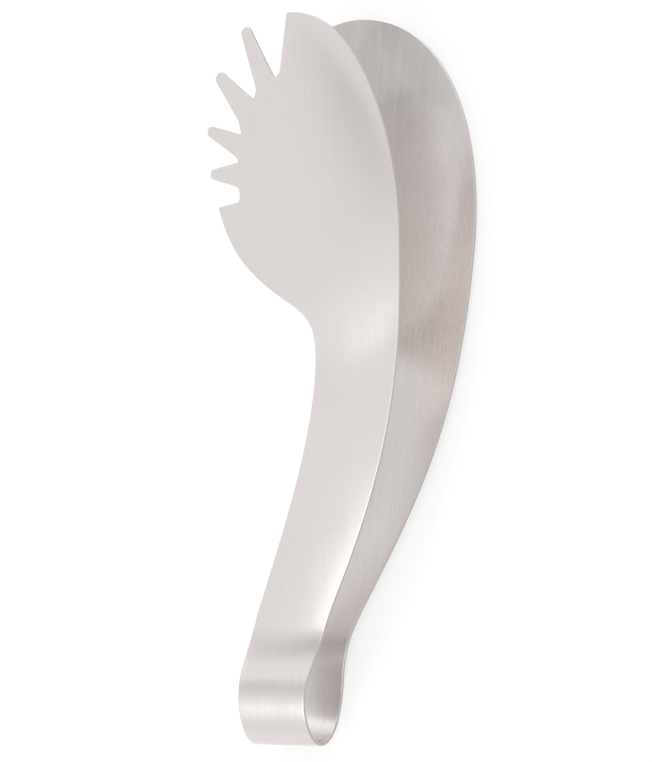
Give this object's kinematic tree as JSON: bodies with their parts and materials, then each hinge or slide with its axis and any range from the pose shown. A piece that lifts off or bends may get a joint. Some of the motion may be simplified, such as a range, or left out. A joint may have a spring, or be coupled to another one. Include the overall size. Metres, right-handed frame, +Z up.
{
  "type": "mini tongs",
  "caption": "Small one-piece stainless kitchen tongs: a springy bow joins an arm with a toothed fork head to an arm with a plain curled spoon head, squeezed together to grip food.",
  "frame": {"origin": "middle of the footprint, on the surface that the tongs lie on", "axes": "+Y along the arms from the bow to the heads, +Z up from the spoon arm to the fork arm, +X towards the side on which both heads bulge"},
  "size_m": [0.0508, 0.1594, 0.0483],
  "materials": {
    "brushed_steel": "satin hairline-brushed stainless sheet"
  },
  "bodies": {
    "rear_arm": {"rear_arm": "brushed_steel"},
    "spring_bow": {"spring_bow": "brushed_steel"},
    "front_arm": {"front_arm": "brushed_steel"}
  },
  "joints": [
    {"name": "rear_flex", "type": "hinge", "parent": "rear_arm", "child": "spring_bow", "pos_m": [-0.001, -0.04883, 0.00383], "axis": [-1, 0, 0], "range_deg": [-2, 7.1], "stiffness_Nm_per_rad": 5},
    {"name": "front_flex", "type": "hinge", "parent": "spring_bow", "child": "front_arm", "pos_m": [-0.001, -0.05045, 0.01895], "axis": [-1, 0, 0], "range_deg": [-2, 7.1], "stiffness_Nm_per_rad": 5}
  ],
  "couplings": [
    {"joint": "front_flex", "follows": "rear_flex", "ratio": 1}
  ]
}
